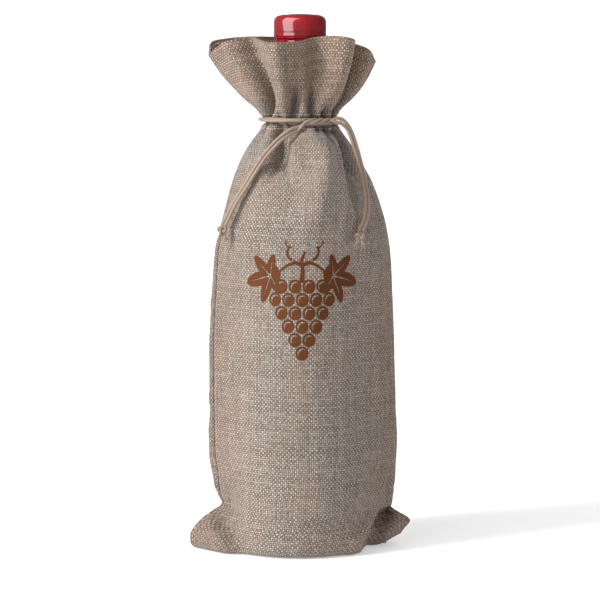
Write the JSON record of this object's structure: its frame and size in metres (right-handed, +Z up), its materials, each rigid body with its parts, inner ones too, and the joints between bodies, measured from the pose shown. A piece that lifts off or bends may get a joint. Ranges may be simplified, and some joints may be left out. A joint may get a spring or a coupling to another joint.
{
  "type": "wine gift bag",
  "caption": "Linen drawstring gift bag standing with a sealed wine bottle inside, neck gathered and tied with cord, ruffled top and a printed grape motif.",
  "frame": {"origin": "centre of the base, on the bottle's axis, at the surface that the bag stands on", "axes": "+Z up along the bottle, the printed front faces -Y, +X to the viewer's right"},
  "size_m": [0.126, 0.082, 0.3029],
  "materials": {
    "linen": "coarse plain weave",
    "thread": "spun thread",
    "cord": "fine braided",
    "ink": "matte ink on weave",
    "glass": "polished",
    "wine": "clear liquid",
    "cork": "natural",
    "capsule": "glossy shrink film"
  },
  "bodies": {
    "bag": {"front_panel": "linen", "back_panel": "linen", "front_facing": "linen", "back_facing": "linen", "left_side_seam": "thread", "right_side_seam": "thread", "bottom_seam": "thread", "channel_stitching": "thread", "left_drawstring": "cord", "right_drawstring": "cord", "half_knot": "cord", "printed_motif": "ink"},
    "bottle": {"bottle_glass": "glass", "wine": "wine", "cork": "cork", "capsule_sleeve": "capsule", "capsule_top": "capsule"},
    "left_tails": {"left_tail_a": "cord", "left_tail_b": "cord", "left_end_knot": "cord", "left_frays": "cord"},
    "right_tails": {"right_tail_a": "cord", "right_tail_b": "cord", "right_end_knot": "cord", "right_frays": "cord"}
  },
  "joints": [
    {"name": "bottle_lift", "type": "slide", "parent": "bag", "child": "bottle", "axis": [0, 0, 1], "range_m": [0, 0.01]},
    {"name": "left_tails_lift", "type": "hinge", "parent": "bag", "child": "left_tails", "pos_m": [-0.0015, -0.0245, 0.24], "axis": [-0.7071, 0, 0.7071], "range_deg": [0, 70]},
    {"name": "right_tails_lift", "type": "hinge", "parent": "bag", "child": "right_tails", "pos_m": [0.0205, -0.0165, 0.245], "axis": [-0.6, -0.8, 0], "range_deg": [0, 70]}
  ]
}
